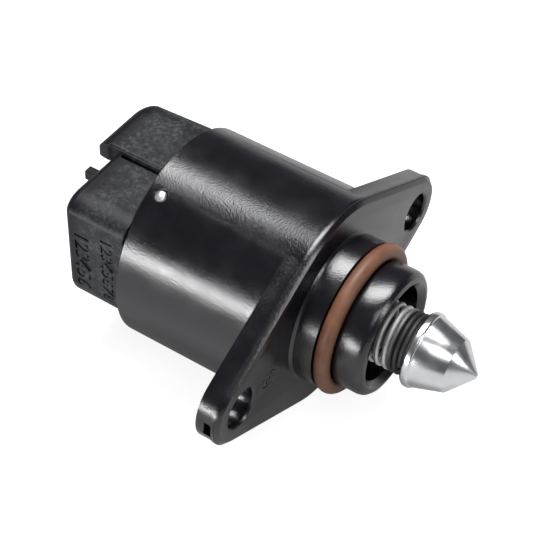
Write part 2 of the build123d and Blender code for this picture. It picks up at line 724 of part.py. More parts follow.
# Connector body: rear plug and two-lobed socket, moulded over the terminals
cavity_near_y = NEAR_SIDE_Y + SOCKET_WALL
cavity_far_y = FAR_SIDE_Y - SOCKET_WALL
cavity_base_z = BASE_Z + SOCKET_WALL
cavity_top_z = NEAR_TOP_Z - SOCKET_WALL
gasket_x = RIM_X + GASKET_SETBACK
gasket_bore_r = PLUG_R - GASKET_DEPTH
with BuildPart() as connector_body:
    with BuildSketch(Plane.XY):
        profile(
            (PLUG_X, 0),
            (PLUG_X, PLUG_R),
            (gasket_x + GASKET_WIDTH, PLUG_R),
            (gasket_x + GASKET_WIDTH, gasket_bore_r),
            (gasket_x, gasket_bore_r),
            (gasket_x, PLUG_R),
            (RIM_X, PLUG_R),
            (RIM_X, 0),
        )
    revolve(axis=Axis.X)
    add(near_lobe.part)
    add(far_lobe.part)
    with BuildSketch(Plane.YZ.offset(PLUG_X)):
        Circle(REAR_BUSH_R + FIT)
    extrude(amount=-PLUG_LENGTH, mode=Mode.SUBTRACT)
    with BuildSketch(Plane.YZ.offset(RIM_X)):
        with Locations((STEP_Y - STEP_GROOVE_WIDTH / 2, NEAR_TOP_Z - STEP_GROOVE_DEPTH / 2)):
            Rectangle(STEP_GROOVE_WIDTH, STEP_GROOVE_DEPTH)
    extrude(amount=REAR_ROUND - NEAR_LENGTH, mode=Mode.SUBTRACT)
    with BuildSketch(Plane.YZ.offset(SOCKET_FLOOR_X)) as cavity_section:
        with Locations(((cavity_near_y + cavity_far_y) / 2, (cavity_base_z + cavity_top_z) / 2)):
            Rectangle(cavity_far_y - cavity_near_y, cavity_top_z - cavity_base_z)
        fillet(cavity_section.vertices(), SOCKET_ROUND)
        with Locations(((STEP_Y + FAR_SIDE_Y) / 2, cavity_top_z)):
            Rectangle(KEY_WIDTH, 2 * KEY_HEIGHT)
    extrude(amount=FAR_END_X - SOCKET_FLOOR_X, mode=Mode.SUBTRACT)
    with BuildSketch(Plane.YZ.offset(NEAR_END_X + LATCH_ROOT)) as latch_section:
        with Locations((LATCH_CENTRE_Y, LATCH_TOP_Z - LATCH_HEIGHT / 2)):
            Rectangle(LATCH_WIDTH, LATCH_HEIGHT)
        fillet(latch_section.vertices(), LATCH_ROUND)
    extrude(amount=-LATCH_ROOT - LATCH_LENGTH)
    for terminal in terminals:
        add(terminal.part, mode=Mode.SUBTRACT)

connector_body.part.label = "connector_body"
export_step(connector_body.part, "parts/connector_body.step")

# Plug gasket: a rubber band squeezed between the plug's groove and the can
with BuildPart() as plug_gasket:
    with BuildSketch(Plane.XY):
        profile(
            (gasket_x + FIT, gasket_bore_r),
            (gasket_x + FIT, CAVITY_R),
            (gasket_x + GASKET_WIDTH - FIT, CAVITY_R),
            (gasket_x + GASKET_WIDTH - FIT, gasket_bore_r),
        )
    revolve(axis=Axis.X)

plug_gasket.part.label = "plug_gasket"
export_step(plug_gasket.part, "parts/plug_gasket.step")

# Rear bush: a sintered bronze sleeve in the plug that carries the rotor's tail
with BuildPart() as rear_bush:
    with BuildSketch(Plane.XY):
        profile(
            (PLUG_X, JOURNAL_R + RUNNING),
            (PLUG_X, REAR_BUSH_R),
            (RIM_X, REAR_BUSH_R),
            (RIM_X, JOURNAL_R + RUNNING),
        )
    revolve(axis=Axis.X)

rear_bush.part.label = "rear_bush"
export_step(rear_bush.part, "parts/rear_bush.step")
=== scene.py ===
"""Idle air control valve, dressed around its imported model. Everything is in metres, in the model's own frame:
the valve's axis is X with the pintle at +X, Y runs along the two flange lugs, Z is up."""

from math import cos, hypot, pi, radians, sin, tau

import bpy
from mathutils import Matrix, Vector


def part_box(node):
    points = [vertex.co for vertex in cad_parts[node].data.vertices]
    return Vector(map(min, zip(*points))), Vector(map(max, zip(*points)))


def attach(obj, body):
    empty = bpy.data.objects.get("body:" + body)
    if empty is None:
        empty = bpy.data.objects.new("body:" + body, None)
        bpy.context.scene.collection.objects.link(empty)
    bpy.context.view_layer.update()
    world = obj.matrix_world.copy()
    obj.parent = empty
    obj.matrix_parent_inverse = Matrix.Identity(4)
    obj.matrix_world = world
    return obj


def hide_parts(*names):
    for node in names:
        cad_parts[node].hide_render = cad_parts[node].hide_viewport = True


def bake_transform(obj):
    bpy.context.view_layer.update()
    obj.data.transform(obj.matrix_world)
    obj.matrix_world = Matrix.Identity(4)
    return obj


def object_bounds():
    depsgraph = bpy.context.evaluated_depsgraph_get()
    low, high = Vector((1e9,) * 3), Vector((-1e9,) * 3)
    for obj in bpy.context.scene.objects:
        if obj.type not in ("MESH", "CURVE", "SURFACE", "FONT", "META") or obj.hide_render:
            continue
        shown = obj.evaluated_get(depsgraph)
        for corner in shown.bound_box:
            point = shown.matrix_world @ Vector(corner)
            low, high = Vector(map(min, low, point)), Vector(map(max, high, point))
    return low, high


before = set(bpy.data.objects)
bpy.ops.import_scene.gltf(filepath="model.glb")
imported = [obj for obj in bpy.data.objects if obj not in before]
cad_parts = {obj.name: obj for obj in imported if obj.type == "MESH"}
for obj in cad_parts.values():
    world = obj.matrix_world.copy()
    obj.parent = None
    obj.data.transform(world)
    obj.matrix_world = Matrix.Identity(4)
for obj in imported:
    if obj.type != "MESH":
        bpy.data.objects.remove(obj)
cad_box = [list(corner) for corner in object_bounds()]
bpy.ops.object.select_all(action="DESELECT")


# Housing
# The can, the two-lug flange and the nose spigot are one die casting, painted satin black. The edges are
# softened by the paint, and the casting's skin shows as fine sparkle where a light catches it.
merge_distance = 2e-6
same_face_angle = radians(0.4)
sharp_edge_angle = radians(28)
edge_segments = 3
shading_angle = radians(35)


def select_only(piece):
    """Makes one piece the active object and the only selected one."""
    bpy.ops.object.select_all(action="DESELECT")
    bpy.context.view_layer.objects.active = piece
    piece.select_set(True)


def merged_copy(node, piece_name, edge_round):
    """A copy of a model node with its triangles merged into whole faces and its sharp edges rounded."""
    piece = bpy.data.objects.new(piece_name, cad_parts[node].data.copy())
    bpy.context.scene.collection.objects.link(piece)
    select_only(piece)
    bpy.ops.object.mode_set(mode="EDIT")
    bpy.ops.mesh.select_all(action="SELECT")
    bpy.ops.mesh.remove_doubles(threshold=merge_distance)
    bpy.ops.mesh.dissolve_limited(angle_limit=same_face_angle)
    bpy.ops.mesh.select_all(action="DESELECT")
    bpy.ops.object.mode_set(mode="OBJECT")
    soften = piece.modifiers.new("soften", "BEVEL")
    soften.width = edge_round
    soften.segments = edge_segments
    soften.limit_method = "ANGLE"
    soften.angle_limit = sharp_edge_angle
    bpy.ops.object.modifier_apply(modifier="soften")
    bpy.ops.object.shade_smooth_by_angle(angle=shading_angle)
    return piece


def even_shading(piece, chosen):
    """Lets large faces set the shading at the places that a test accepts, so small faces leave no streaks."""
    select_only(piece)
    bpy.ops.object.shade_smooth_by_angle(angle=shading_angle)
    even = piece.vertex_groups.new(name="even")
    even.add([vertex.index for vertex in piece.data.vertices if chosen(vertex.co)], 1.0, "REPLACE")
    evening = piece.modifiers.new("evening", "WEIGHTED_NORMAL")
    evening.vertex_group = "even"
    evening.mode = "FACE_AREA"
    evening.keep_sharp = True
    bpy.ops.object.modifier_apply(modifier="evening")


def new_material(name):
    """A node material, its shader, a function that adds a node wired to what it is given, and its links."""
    material = bpy.data.materials.new(name)
    material.use_nodes = True
    nodes = material.node_tree.nodes
    links = material.node_tree.links
    shader = nodes["Principled BSDF"]

    def add(kind, inputs=None, **settings):
        node = nodes.new(kind)
        for key, value in settings.items():
            setattr(node, key, value)
        for key, value in (inputs or {}).items():
            if isinstance(value, bpy.types.NodeSocket):
                links.new(value, node.inputs[key])
            else:
                node.inputs[key].default_value = value
        return node

    return material, shader, add, links


def unevenness(add, place, scale, detail, rough=0.5, distortion=0.0):
    """A cloudy pattern over a piece, with its scale in patches per metre."""
    settings = {"Vector": place, "Scale": scale, "Detail": detail, "Roughness": rough}
    settings["Distortion"] = distortion
    return add("ShaderNodeTexNoise", settings).outputs["Fac"]


def relief(add, height, strength, depth, below=None):
    """The surface direction that a pattern of heights gives, laid over the relief below it."""
    settings = {"Height": height, "Strength": strength, "Distance": depth}
    if below is not None:
        settings["Normal"] = below
    return add("ShaderNodeBump", settings).outputs["Normal"]


def ramp(add, value, stops):
    """A colour ramp over a value, from a list of (position, grey or colour)."""
    node = add("ShaderNodeValToRGB", {"Fac": value})
    elements = node.color_ramp.elements
    while len(elements) < len(stops):
        elements.new(0.5)
    for element, (position, colour) in zip(elements, stops):
        element.position = position
        if isinstance(colour, (int, float)):
            colour = (colour, colour, colour)
        element.color = (*colour, 1)
    return node.outputs["Color"]


def wear(piece, material):
    """Gives a piece one material in place of whatever it had."""
    piece.data.materials.clear()
    piece.data.materials.append(material)


paint_dark = (0.0035, 0.003, 0.0065)
paint_light = (0.0065, 0.006, 0.0105)
paint, shader, add, links = new_material("satin_black_paint")
place = add("ShaderNodeTexCoord").outputs["Object"]
cast_skin = unevenness(add, place, scale=3600.0, detail=2.0, rough=0.6)
flow = unevenness(add, place, scale=240.0, detail=3.0, rough=0.55)
tone = ramp(add, flow, [(0.35, paint_dark), (0.68, paint_light)])
gloss = ramp(add, flow, [(0.3, 0.17), (0.7, 0.24)])
skin_relief = relief(add, cast_skin, strength=0.3, depth=0.0001)
flow_relief = relief(add, flow, strength=0.1, depth=0.0001, below=skin_relief)
links.new(tone, shader.inputs["Base Color"])
links.new(gloss, shader.inputs["Roughness"])
links.new(flow_relief, shader.inputs["Normal"])
shader.inputs["Specular IOR Level"].default_value = 1.0

housing = merged_copy("housing", "painted_housing", edge_round=0.00018)


def lettering(words, length, height, depth, stroke, centre, along, upwards):
    """A solid of raised figures, fitted to a length and a height, that reads along one direction."""
    bpy.ops.object.select_all(action="DESELECT")
    bpy.ops.object.text_add()
    figures = bpy.context.object
    figures.data.body = words
    figures.data.extrude = depth
    figures.data.offset = stroke
    figures.data.resolution_u = 3
    bpy.ops.object.convert(target="MESH")
    corners = [Vector(corner) for corner in figures.bound_box]
    low = corners[0]
    high = corners[6]
    for vertex in figures.data.vertices:
        right = ((vertex.co.x - low.x) / (high.x - low.x) - 0.5) * length
        up = ((vertex.co.y - low.y) / (high.y - low.y) - 0.5) * height
        out = along.cross(upwards) * vertex.co.z
        vertex.co = centre + along * right + upwards * up + out
    return figures


def cut_away(piece, cutters):
    """Cuts the cutters' shapes out of a piece."""
    for cutter in cutters:
        select_only(piece)
        cut = piece.modifiers.new("cut", "BOOLEAN")
        cut.operation = "DIFFERENCE"
        cut.solver = "EXACT"
        cut.object = cutter
        bpy.ops.object.modifier_apply(modifier="cut")
        bpy.data.objects.remove(cutter)


mark_centre = Vector((0, -0.0176, -0.0002))
mark_along = Vector((0, 0.95, 0.31)).normalized()
mark_up = Vector((0, -0.31, 0.95)).normalized()
mark_depth = 0.00014
mark_length = 0.0019
mark_height = 0.0013
mark_stroke = 0.01
ring_radius = 0.0014
ring_stretch = (1, 1.25, 0.9)
pocket_centre = (-0.00185, -0.0304, -0.0001)
pocket_size = (0.0015, 0.002, 0.0026)
can_front_x = -0.0045
bpy.ops.object.select_all(action="DESELECT")
bpy.ops.mesh.primitive_torus_add(
    major_radius=ring_radius,
    minor_radius=mark_depth,
    major_segments=48,
    minor_segments=10,
    location=mark_centre,
    rotation=(0, pi / 2, 0),
)
mark_ring = bpy.context.object
bpy.ops.object.transform_apply(location=False, rotation=True, scale=True)
bpy.ops.transform.resize(value=ring_stretch)
bpy.ops.object.transform_apply(location=True, rotation=True, scale=True)
mark_figures = lettering(
    "60", mark_length, mark_height, mark_depth, mark_stroke, mark_centre, mark_along, mark_up
)
bpy.ops.object.select_all(action="DESELECT")
bpy.ops.mesh.primitive_cube_add(size=1, location=pocket_centre)
rim_pocket = bpy.context.object
rim_pocket.scale = pocket_size
bpy.ops.object.transform_apply(location=True, rotation=True, scale=True)
cut_away(housing, [mark_ring, mark_figures, rim_pocket])
even_shading(housing, lambda p: p.x < can_front_x)
wear(housing, paint)
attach(housing, "valve_body")
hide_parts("housing")


# Stake marks
# Four punch marks near the can's rear rim pin the plug in the can. Each broke the paint and left a small boss
# of bare bright metal at its bottom.
can_radius = 0.0175
stake_x = -0.02592
stake_angles = (-29.6, 42.4, 150.4, 222.4)
boss_radius = 0.00102
boss_length = 0.9
boss_flatness = 0.38
boss_out = can_radius - boss_radius * boss_flatness
bosses = []
for stake_angle in stake_angles:
    turn = radians(stake_angle)
    bpy.ops.object.select_all(action="DESELECT")
    bpy.ops.mesh.primitive_uv_sphere_add(
        segments=28,
        ring_count=14,
        radius=boss_radius,
        location=(stake_x, boss_out * sin(turn), boss_out * cos(turn)),
        rotation=(-turn, 0, 0),
    )
    boss = bpy.context.object
    boss.scale = (boss_length, 1, boss_flatness)
    bpy.ops.object.transform_apply(location=True, rotation=True, scale=True)
    bosses.append(boss)
bpy.ops.object.select_all(action="DESELECT")
for boss in bosses:
    boss.select_set(True)
stake_bosses = bosses[0]
bpy.context.view_layer.objects.active = stake_bosses
bpy.ops.object.join()
bpy.ops.object.shade_smooth()
stake_bosses.name = "stake_bosses"

punched_dark = (0.6, 0.6, 0.62)
punched_light = (0.9, 0.9, 0.92)
bare_metal, shader, add, links = new_material("bare_punched_metal")
place = add("ShaderNodeTexCoord").outputs["Object"]
dents = unevenness(add, place, scale=1900.0, detail=2.0)
tone = ramp(add, dents, [(0.35, punched_dark), (0.6, punched_light)])
dent_relief = relief(add, dents, strength=0.5, depth=0.00015)
links.new(tone, shader.inputs["Base Color"])
links.new(dent_relief, shader.inputs["Normal"])
shader.inputs["Metallic"].default_value = 1.0
shader.inputs["Roughness"].default_value = 0.42
wear(stake_bosses, bare_metal)
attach(stake_bosses, "valve_body")


# Spigot seal
# A moulded ring of brown rubber with a round section, stretched into the spigot's groove. It is satin, with a
# faint cloudy bloom and a fine grain.
seal_low, seal_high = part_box("spigot_seal")
seal_section = (seal_high.x - seal_low.x) / 2
seal_radius = seal_high.y - seal_section
bpy.ops.mesh.primitive_torus_add(
    major_radius=seal_radius,
    minor_radius=seal_section,
    major_segments=160,
    minor_segments=32,
    location=((seal_low.x + seal_high.x) / 2, 0, 0),
    rotation=(0, pi / 2, 0),
)
seal = bpy.context.object
seal.name = "brown_seal_ring"
bpy.ops.object.transform_apply(location=True, rotation=True, scale=True)
bpy.ops.object.shade_smooth()

rubber_dark = (0.2, 0.088, 0.05)
rubber_light = (0.29, 0.132, 0.078)
rubber, shader, add, links = new_material("brown_seal_rubber")
place = add("ShaderNodeTexCoord").outputs["Object"]
bloom = unevenness(add, place, scale=420.0, detail=4.0, rough=0.6)
grain = unevenness(add, place, scale=3200.0, detail=2.0)
tone = ramp(add, bloom, [(0.3, rubber_dark), (0.7, rubber_light)])
gloss = ramp(add, bloom, [(0.3, 0.4), (0.7, 0.52)])
grain_relief = relief(add, grain, strength=0.12, depth=0.00004)
links.new(tone, shader.inputs["Base Color"])
links.new(gloss, shader.inputs["Roughness"])
links.new(grain_relief, shader.inputs["Normal"])
wear(seal, rubber)
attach(seal, "valve_body")
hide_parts("spigot_seal")


# Pintle
# The valve's head is turned from aluminium: a rounded collar, a shallow taper and a steep one to a blunt tip.
# The tool left fine rings, and the edges between the tapers are crisp.


def turned(piece_name, outline, steps):
    """A piece turned about X from its closed half outline, a list of (along, out) points."""
    mesh = bpy.data.meshes.new(piece_name)
    points = [(along, out, 0) for along, out in outline]
    runs = [(i, (i + 1) % len(points)) for i in range(len(points))]
    mesh.from_pydata(points, runs, [])
    piece = bpy.data.objects.new(piece_name, mesh)
    bpy.context.scene.collection.objects.link(piece)
    select_only(piece)
    bpy.ops.object.mode_set(mode="EDIT")
    bpy.ops.mesh.select_all(action="SELECT")
    bpy.ops.mesh.spin(steps=steps, angle=tau, center=(0, 0, 0), axis=(1, 0, 0))
    bpy.ops.mesh.select_all(action="SELECT")
    bpy.ops.mesh.remove_doubles(threshold=1e-6)
    bpy.ops.mesh.dissolve_degenerate(threshold=1e-7)
    bpy.ops.mesh.normals_make_consistent(inside=False)
    bpy.ops.mesh.select_all(action="DESELECT")
    bpy.ops.object.mode_set(mode="OBJECT")
    return piece


pintle_low, pintle_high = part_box("pintle")
screw_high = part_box("lead_screw")[1]
collar_radius = pintle_high.y
collar_round = 0.0007
collar_round_steps = 8
collar_length = 0.0015
collar_step = 0.0003
collar_step_steps = 6
step_landing = 0.0001
taper_length = 0.0049
taper_end_radius = 0.00435
tip_radius = 0.0004
screw_radius = screw_high.y
taper_x = pintle_low.x + collar_length
cone_x = taper_x + taper_length
turning_steps = 192
outline = [
    (screw_high.x, 0),
    (screw_high.x, screw_radius),
    (pintle_low.x, screw_radius),
    (pintle_low.x, collar_radius - collar_round),
]
for step in range(1, collar_round_steps + 1):
    turn = step / collar_round_steps * pi / 2
    along = pintle_low.x + collar_round * (1 - cos(turn))
    outline.append((along, collar_radius - collar_round * (1 - sin(turn))))
for step in range(collar_step_steps + 1):
    turn = step / collar_step_steps * pi / 2
    along = taper_x - collar_step * (1 - sin(turn))
    outline.append((along, collar_radius - collar_step * (1 - cos(turn))))
outline.append((taper_x + step_landing, collar_radius - collar_step))
outline += [(cone_x, taper_end_radius), (pintle_high.x, tip_radius), (pintle_high.x, 0)]
pintle = turned("turned_pintle", outline, turning_steps)
rounding = pintle.modifiers.new("rounding", "BEVEL")
rounding.width = 0.00007
rounding.segments = 2
rounding.limit_method = "ANGLE"
rounding.angle_limit = radians(20)
bpy.ops.object.modifier_apply(modifier="rounding")
bpy.ops.object.shade_smooth_by_angle(angle=radians(32))

aluminium_dark = (0.84, 0.85, 0.88)
aluminium_light = (0.93, 0.94, 0.96)
metal, shader, add, links = new_material("turned_aluminium")
place = add("ShaderNodeTexCoord").outputs["Object"]
along = add("ShaderNodeSeparateXYZ", {"Vector": place}).outputs["X"]
rings = add("ShaderNodeTexNoise", {"W": along, "Scale": 9000.0, "Detail": 2.0}, noise_dimensions="1D")
stain = unevenness(add, place, scale=600.0, detail=4.0)
tone = ramp(add, stain, [(0.3, aluminium_dark), (0.7, aluminium_light)])
gloss = ramp(add, stain, [(0.3, 0.2), (0.7, 0.28)])
ring_relief = relief(add, rings.outputs["Fac"], strength=0.35, depth=0.00001)
links.new(tone, shader.inputs["Base Color"])
links.new(gloss, shader.inputs["Roughness"])
links.new(ring_relief, shader.inputs["Normal"])
shader.inputs["Metallic"].default_value = 1.0
wear(pintle, metal)
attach(pintle, "pintle_rod")
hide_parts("pintle")


# Pintle spring
# Wound from round spring wire: one closed turn on the seat, open turns, and three closed turns against the
# pintle, whose colour is darkened as painted shade. Its turns close up as the pintle draws in.
spring_low, spring_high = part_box("pintle_spring")
wire_radius = 0.00042
wire_sides = 20
steps_per_turn = 48
coil_radius = spring_high.y - wire_radius
open_pitch = 0.00133
rear_closed_turns = 1
front_closed_turns = 3
closed_pitch = 0.0009
spring_rise = spring_high.x - spring_low.x - closed_pitch
open_turns = (spring_rise - (rear_closed_turns + front_closed_turns) * closed_pitch) / open_pitch
coil_runs = [(rear_closed_turns, closed_pitch), (open_turns, open_pitch), (front_closed_turns, closed_pitch)]
done_turns = 0
along = spring_low.x + wire_radius
coils = []
for turns, pitch in coil_runs:
    start = done_turns * tau
    bpy.ops.mesh.primitive_circle_add(
        vertices=wire_sides,
        radius=wire_radius,
        location=(along, coil_radius * cos(start), coil_radius * sin(start)),
        rotation=(start, 0, 0),
    )
    coil = bpy.context.object
    bpy.ops.object.transform_apply(location=True, rotation=True, scale=True)
    winding = coil.modifiers.new("winding", "SCREW")
    winding.axis = "X"
    winding.angle = turns * tau
    winding.screw_offset = turns * pitch
    winding.steps = round(turns * steps_per_turn)
    winding.render_steps = winding.steps
    winding.use_smooth_shade = True
    bpy.ops.object.modifier_apply(modifier="winding")
    coils.append(coil)
    done_turns += turns
    along += turns * pitch
bpy.ops.object.select_all(action="DESELECT")
for coil in coils:
    coil.select_set(True)
spring = coils[0]
bpy.context.view_layer.objects.active = spring
bpy.ops.object.join()
spring.name = "wound_spring"
bpy.ops.object.mode_set(mode="EDIT")
bpy.ops.mesh.select_all(action="SELECT")
bpy.ops.mesh.remove_doubles(threshold=merge_distance)
bpy.ops.mesh.select_all(action="DESELECT")
bpy.ops.mesh.select_non_manifold()
bpy.ops.mesh.edge_face_add()
bpy.ops.mesh.select_all(action="SELECT")
bpy.ops.mesh.normals_make_consistent(inside=False)
bpy.ops.object.mode_set(mode="OBJECT")
bpy.ops.object.shade_smooth_by_angle(angle=radians(50))

wire_dark = (0.84, 0.84, 0.83)
wire_light = (0.95, 0.95, 0.94)
# Painted shade: the wire's colour falls to a tenth over its last 2.2 mm towards the pintle, fading in over 0.8
# mm before that, where the closed turns lie in shade.
collar_shade_start = spring_high.x - 0.003
collar_shade_end = spring_high.x - 0.0022
collar_shade_brightness = 0.1
steel, shader, add, links = new_material("spring_wire_steel")
place = add("ShaderNodeTexCoord").outputs["Object"]
drawn = unevenness(add, place, scale=1400.0, detail=3.0)
tone = ramp(add, drawn, [(0.3, wire_dark), (0.7, wire_light)])
gloss = ramp(add, drawn, [(0.3, 0.55), (0.7, 0.66)])
along = add("ShaderNodeSeparateXYZ", {"Vector": place}).outputs["X"]
collar_shade_range = {"Value": along, "From Min": collar_shade_start, "From Max": collar_shade_end, "To Min": 1.0, "To Max": collar_shade_brightness}
collar_shade_factor = add("ShaderNodeMapRange", collar_shade_range).outputs["Result"]
tone = add("ShaderNodeVectorMath", {0: tone, "Scale": collar_shade_factor}, operation="SCALE").outputs["Vector"]
links.new(tone, shader.inputs["Base Color"])
links.new(gloss, shader.inputs["Roughness"])
shader.inputs["Metallic"].default_value = 1.0
wear(spring, steel)
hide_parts("pintle_spring")
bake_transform(spring)
wear(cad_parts["spring_seat"], steel)
wear(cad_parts["preload_washer"], steel)


# Connector body
# The rear plug and the stepped socket are one moulding of black glass-filled plastic. It comes from the mould
# matt, with a grey bloom that mottles the flats, and its edges are broadly rounded.


def stretch(piece, chosen, factors, fixed_point):
    """Scales the vertices whose places a test accepts, about a point that stays where it is."""
    select_only(piece)
    bpy.ops.object.mode_set(mode="EDIT")
    bpy.ops.mesh.select_mode(type="VERT")
    bpy.ops.mesh.select_all(action="DESELECT")
    bpy.ops.object.mode_set(mode="OBJECT")
    for vertex in piece.data.vertices:
        vertex.select = chosen(vertex.co)
    bpy.ops.object.mode_set(mode="EDIT")
    bpy.ops.transform.resize(value=factors, center_override=fixed_point)
    bpy.ops.mesh.select_all(action="DESELECT")
    bpy.ops.object.mode_set(mode="OBJECT")


connector = merged_copy("connector_body", "moulded_connector", edge_round=0.00016)
rim_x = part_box("housing")[0].x
rim_tolerance = 0.0001
plug_radius = (0.016, 0.0165)
model_near_side_y = -0.014
side_tolerance = 0.0003
plug_top_z = 0.0119
socket_near_y = -0.0113
socket_far_y = 0.0074
socket_low_z = -0.0049
socket_high_z = 0.0096
step_y = -0.00145
step_z = 0.01245
near_round_x = -0.0382
near_rear_x = -0.04055
nub_x = -0.0399
nub_root_x = -0.03985
nub_y = -0.003
step_round_y = (-0.0025, 0.00075)
step_round_middle_y = -0.002
near_side_growth = 1.4
far_side_growth = 1.59
base_growth = 1.5
near_top_drop = 0.8
far_top_drop = 0.733
near_rear_draw = 0.72
nub_growth = 2.7
step_round_draw = 0.15


def of_socket(place):
    """Whether a vertex is the socket's, and not on the round plug that fills the can's mouth."""
    if abs(place.x - rim_x) > rim_tolerance:
        return place.x < rim_x
    on_plug = plug_radius[0] < hypot(place.y, place.z) < plug_radius[1]
    at_side = abs(place.y - model_near_side_y) < side_tolerance and place.z > 0
    return at_side or place.z > plug_top_z or not on_plug


def on_far_lobe(place):
    """Whether a vertex of the top is on the far and higher lobe."""
    return place.y >= step_y or place.z >= step_z


stretch(
    connector,
    lambda p: of_socket(p) and p.y < socket_near_y,
    (1, near_side_growth, 1),
    (0, socket_near_y, 0),
)
stretch(
    connector,
    lambda p: of_socket(p) and p.y > socket_far_y,
    (1, far_side_growth, 1),
    (0, socket_far_y, 0),
)
stretch(
    connector,
    lambda p: of_socket(p) and p.z < socket_low_z,
    (1, 1, base_growth),
    (0, 0, socket_low_z),
)
stretch(
    connector,
    lambda p: of_socket(p) and p.z > socket_high_z and not on_far_lobe(p),
    (1, 1, near_top_drop),
    (0, 0, socket_high_z),
)
stretch(
    connector,
    lambda p: of_socket(p) and p.z > socket_high_z and on_far_lobe(p),
    (1, 1, far_top_drop),
    (0, 0, socket_high_z),
)
stretch(
    connector,
    lambda p: near_rear_x < p.x < near_round_x and p.y < step_y or p.x <= near_rear_x and p.y < nub_y,
    (near_rear_draw, 1, 1),
    (near_round_x, 0, 0),
)
stretch(
    connector,
    lambda p: p.x < nub_x and p.y < nub_y,
    (nub_growth, 1, 1),
    (nub_root_x, 0, 0),
)
stretch(
    connector,
    lambda p: p.x < near_rear_x and step_round_y[0] < p.y < step_round_y[1],
    (1, step_round_draw, 1),
    (0, step_round_middle_y, 0),
)

figure_along = Vector((0, 0, -1))
figure_up = Vector((1, 0, 0))
figure_depth = 0.0003
figure_stroke = 0.014
near_side_y = min(vertex.co.y for vertex in connector.data.vertices if vertex.co.x < rim_x)
large_length = 0.0112
large_height = 0.0028
large_centre = Vector((-0.0361, near_side_y, 0.0006))
large_figures = lettering(
    "123456", large_length, large_height, figure_depth, figure_stroke, large_centre, figure_along, figure_up
)
small_length = 0.0130
small_height = 0.0022
small_centre = Vector((-0.0314, near_side_y, 0.001))
small_figures = lettering(
    "12345678", small_length, small_height, figure_depth, figure_stroke, small_centre, figure_along, figure_up
)


def maths(add, operation, *values):
    """The result of one operation on sockets or numbers."""
    return add("ShaderNodeMath", dict(enumerate(values)), operation=operation).outputs[0]


# Painted shade on the rear edges: the bloom is held off within 1.1 mm of each lobe's rear edge and comes back
# by 3.6 mm; the far lobe's rear edge lies 2.9 mm further back.
rear_shade_near_x = -0.0398
rear_shade_far_set_back = -0.0029
rear_shade_start = 0.0011
rear_shade_end = 0.0036


def moulded_plastic(name, darkest, middle, lightest):
    """Matt black plastic with a mottled grey bloom, and painted shade that darkens the rear edges."""
    material, shader, add, links = new_material(name)
    place = add("ShaderNodeTexCoord").outputs["Object"]
    cloud = unevenness(add, place, scale=230.0, detail=7.0, rough=0.7, distortion=0.9)
    speck = unevenness(add, place, scale=1500.0, detail=4.0, rough=0.7)
    fine = unevenness(add, place, scale=4200.0, detail=2.0)
    mottle = maths(add, "MULTIPLY", cloud, speck)
    apart = add("ShaderNodeSeparateXYZ", {"Vector": place})
    far_lobe = maths(add, "GREATER_THAN", apart.outputs["Y"], step_y)
    rear_x = maths(add, "MULTIPLY_ADD", far_lobe, rear_shade_far_set_back, rear_shade_near_x)
    from_rear = maths(add, "SUBTRACT", apart.outputs["X"], rear_x)
    rear_shade_ramp = add("ShaderNodeMapRange", {"Value": from_rear, "From Min": rear_shade_start, "From Max": rear_shade_end})
    # The mottled bloom times the painted rear-edge shade.
    bloom = maths(add, "MULTIPLY", mottle, rear_shade_ramp.outputs["Result"])
    tone = ramp(add, bloom, [(0.1, darkest), (0.24, middle), (0.38, lightest)])
    gloss = ramp(add, mottle, [(0.12, 0.38), (0.4, 0.58)])
    speck_relief = relief(add, speck, strength=0.3, depth=0.0001)
    fine_relief = relief(add, fine, strength=0.2, depth=0.00004, below=speck_relief)
    links.new(tone, shader.inputs["Base Color"])
    links.new(gloss, shader.inputs["Roughness"])
    links.new(fine_relief, shader.inputs["Normal"])
    shader.inputs["Specular IOR Level"].default_value = 0.35
    return material


plastic = moulded_plastic(
    "black_moulded_plastic",
    darkest=(0.005, 0.005, 0.009),
    middle=(0.024, 0.025, 0.029),
    lightest=(0.085, 0.088, 0.09),
)
# Painted shade: a much darker copy of the plastic on the figure cutters, meant for the faces they cut, so that
# the figures' recesses read as shaded.
recess_shade = moulded_plastic(
    "recess_shade_plastic",
    darkest=(0.004, 0.004, 0.005),
    middle=(0.005, 0.005, 0.006),
    lightest=(0.009, 0.009, 0.01),
)
wear(connector, plastic)
wear(large_figures, recess_shade)
wear(small_figures, recess_shade)
cut_away(connector, [large_figures, small_figures])
even_shading(connector, lambda p: True)
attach(connector, "valve_body")
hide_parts("connector_body")


# Inner pieces
# Sealed inside the can and seen only at the bottom of the bore or in the socket: steel, bronze, brass, copper
# and plastic pieces that keep their model's own form.


def plain_finish(name, dark, light, smooth, rough, metallic, scale):
    """A finish whose tone and gloss wander between two values, with a little grain."""
    material, shader, add, links = new_material(name)
    place = add("ShaderNodeTexCoord").outputs["Object"]
    wander = unevenness(add, place, scale=scale, detail=4.0, rough=0.6)
    tone = ramp(add, wander, [(0.3, dark), (0.7, light)])
    gloss = ramp(add, wander, [(0.3, smooth), (0.7, rough)])
    grain_relief = relief(add, wander, strength=0.1, depth=0.00003)
    links.new(tone, shader.inputs["Base Color"])
    links.new(gloss, shader.inputs["Roughness"])
    links.new(grain_relief, shader.inputs["Normal"])
    shader.inputs["Metallic"].default_value = metallic
    return material


